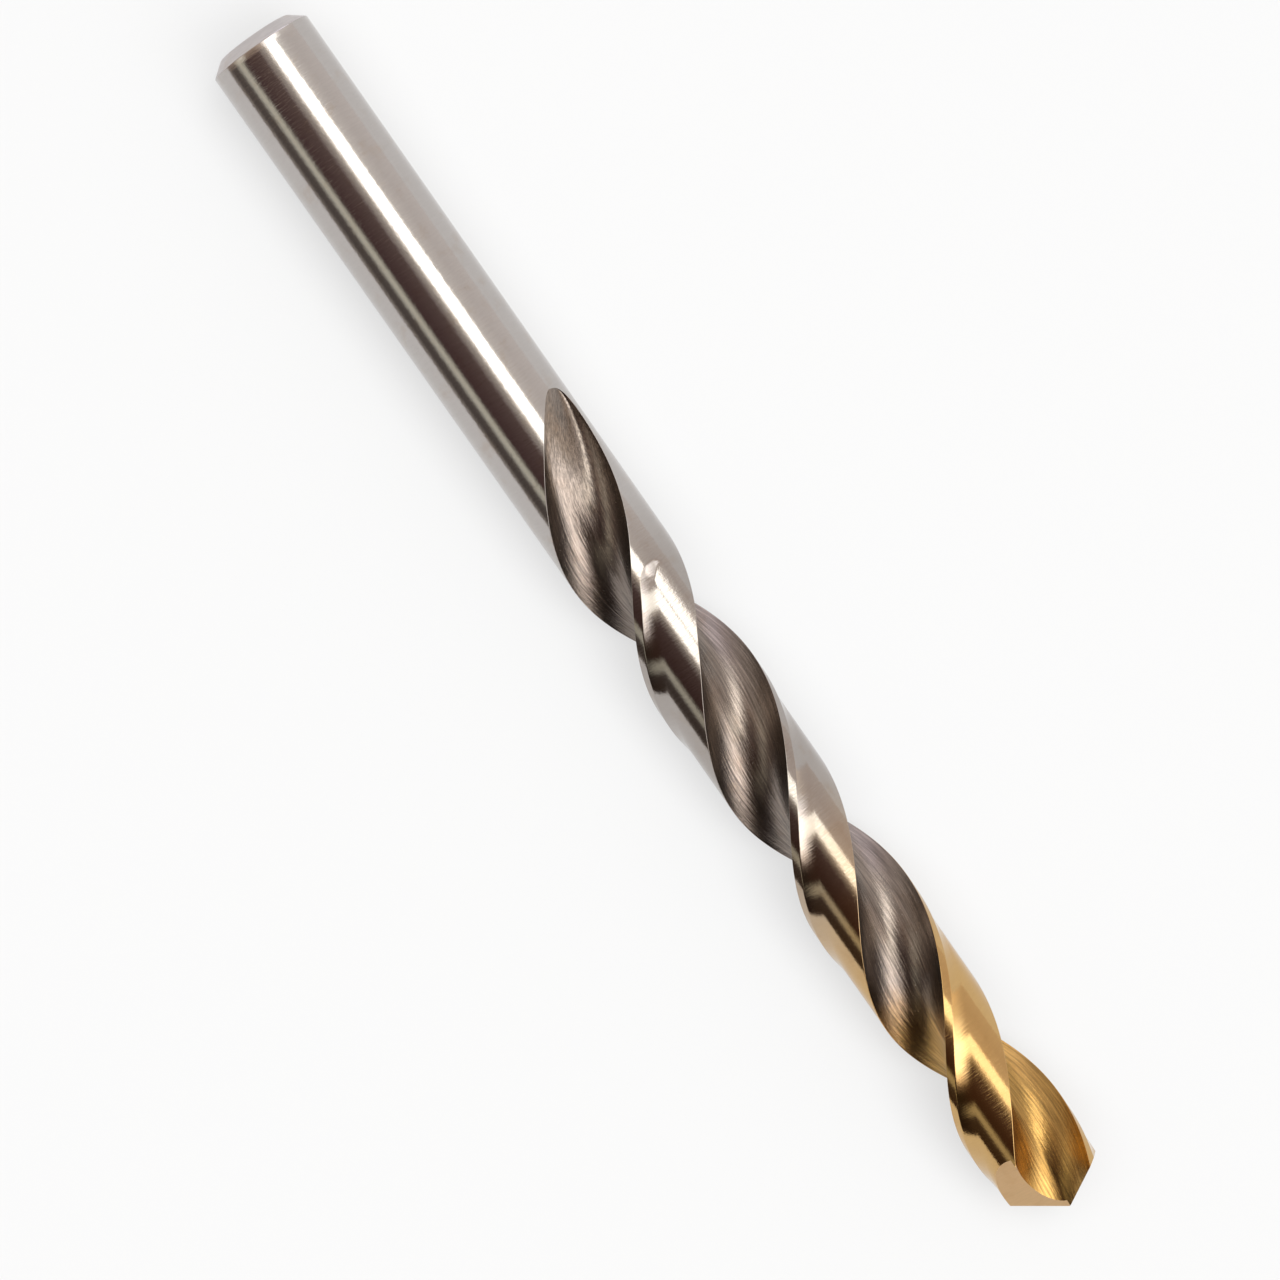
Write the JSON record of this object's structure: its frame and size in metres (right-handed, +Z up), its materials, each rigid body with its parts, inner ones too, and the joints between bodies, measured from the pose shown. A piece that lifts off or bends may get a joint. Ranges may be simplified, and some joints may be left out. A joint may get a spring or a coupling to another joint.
{
  "type": "twist drill",
  "caption": "Straight-shank right-hand twist drill with helical flutes, relieved lands, a split point and a coated cutting end.",
  "frame": {"origin": "centre of the shank's end face, on the drill's axis", "axes": "+X along the axis from the shank to the point; +Z up as the drill lies"},
  "size_m": [0.142, 0.011, 0.011],
  "materials": {
    "ground_shank": "centreless-ground, fine lines round the axis",
    "bare_flutes": "ground, lines along the flutes and round the lands",
    "nitride_flutes": "titanium nitride film over ground steel",
    "nitride_point": "titanium nitride film over ground facets"
  },
  "bodies": {
    "root": {"shank": "ground_shank", "fluted_body": "bare_flutes", "coated_body": "nitride_flutes", "split_point": "nitride_point"}
  },
  "joints": []
}
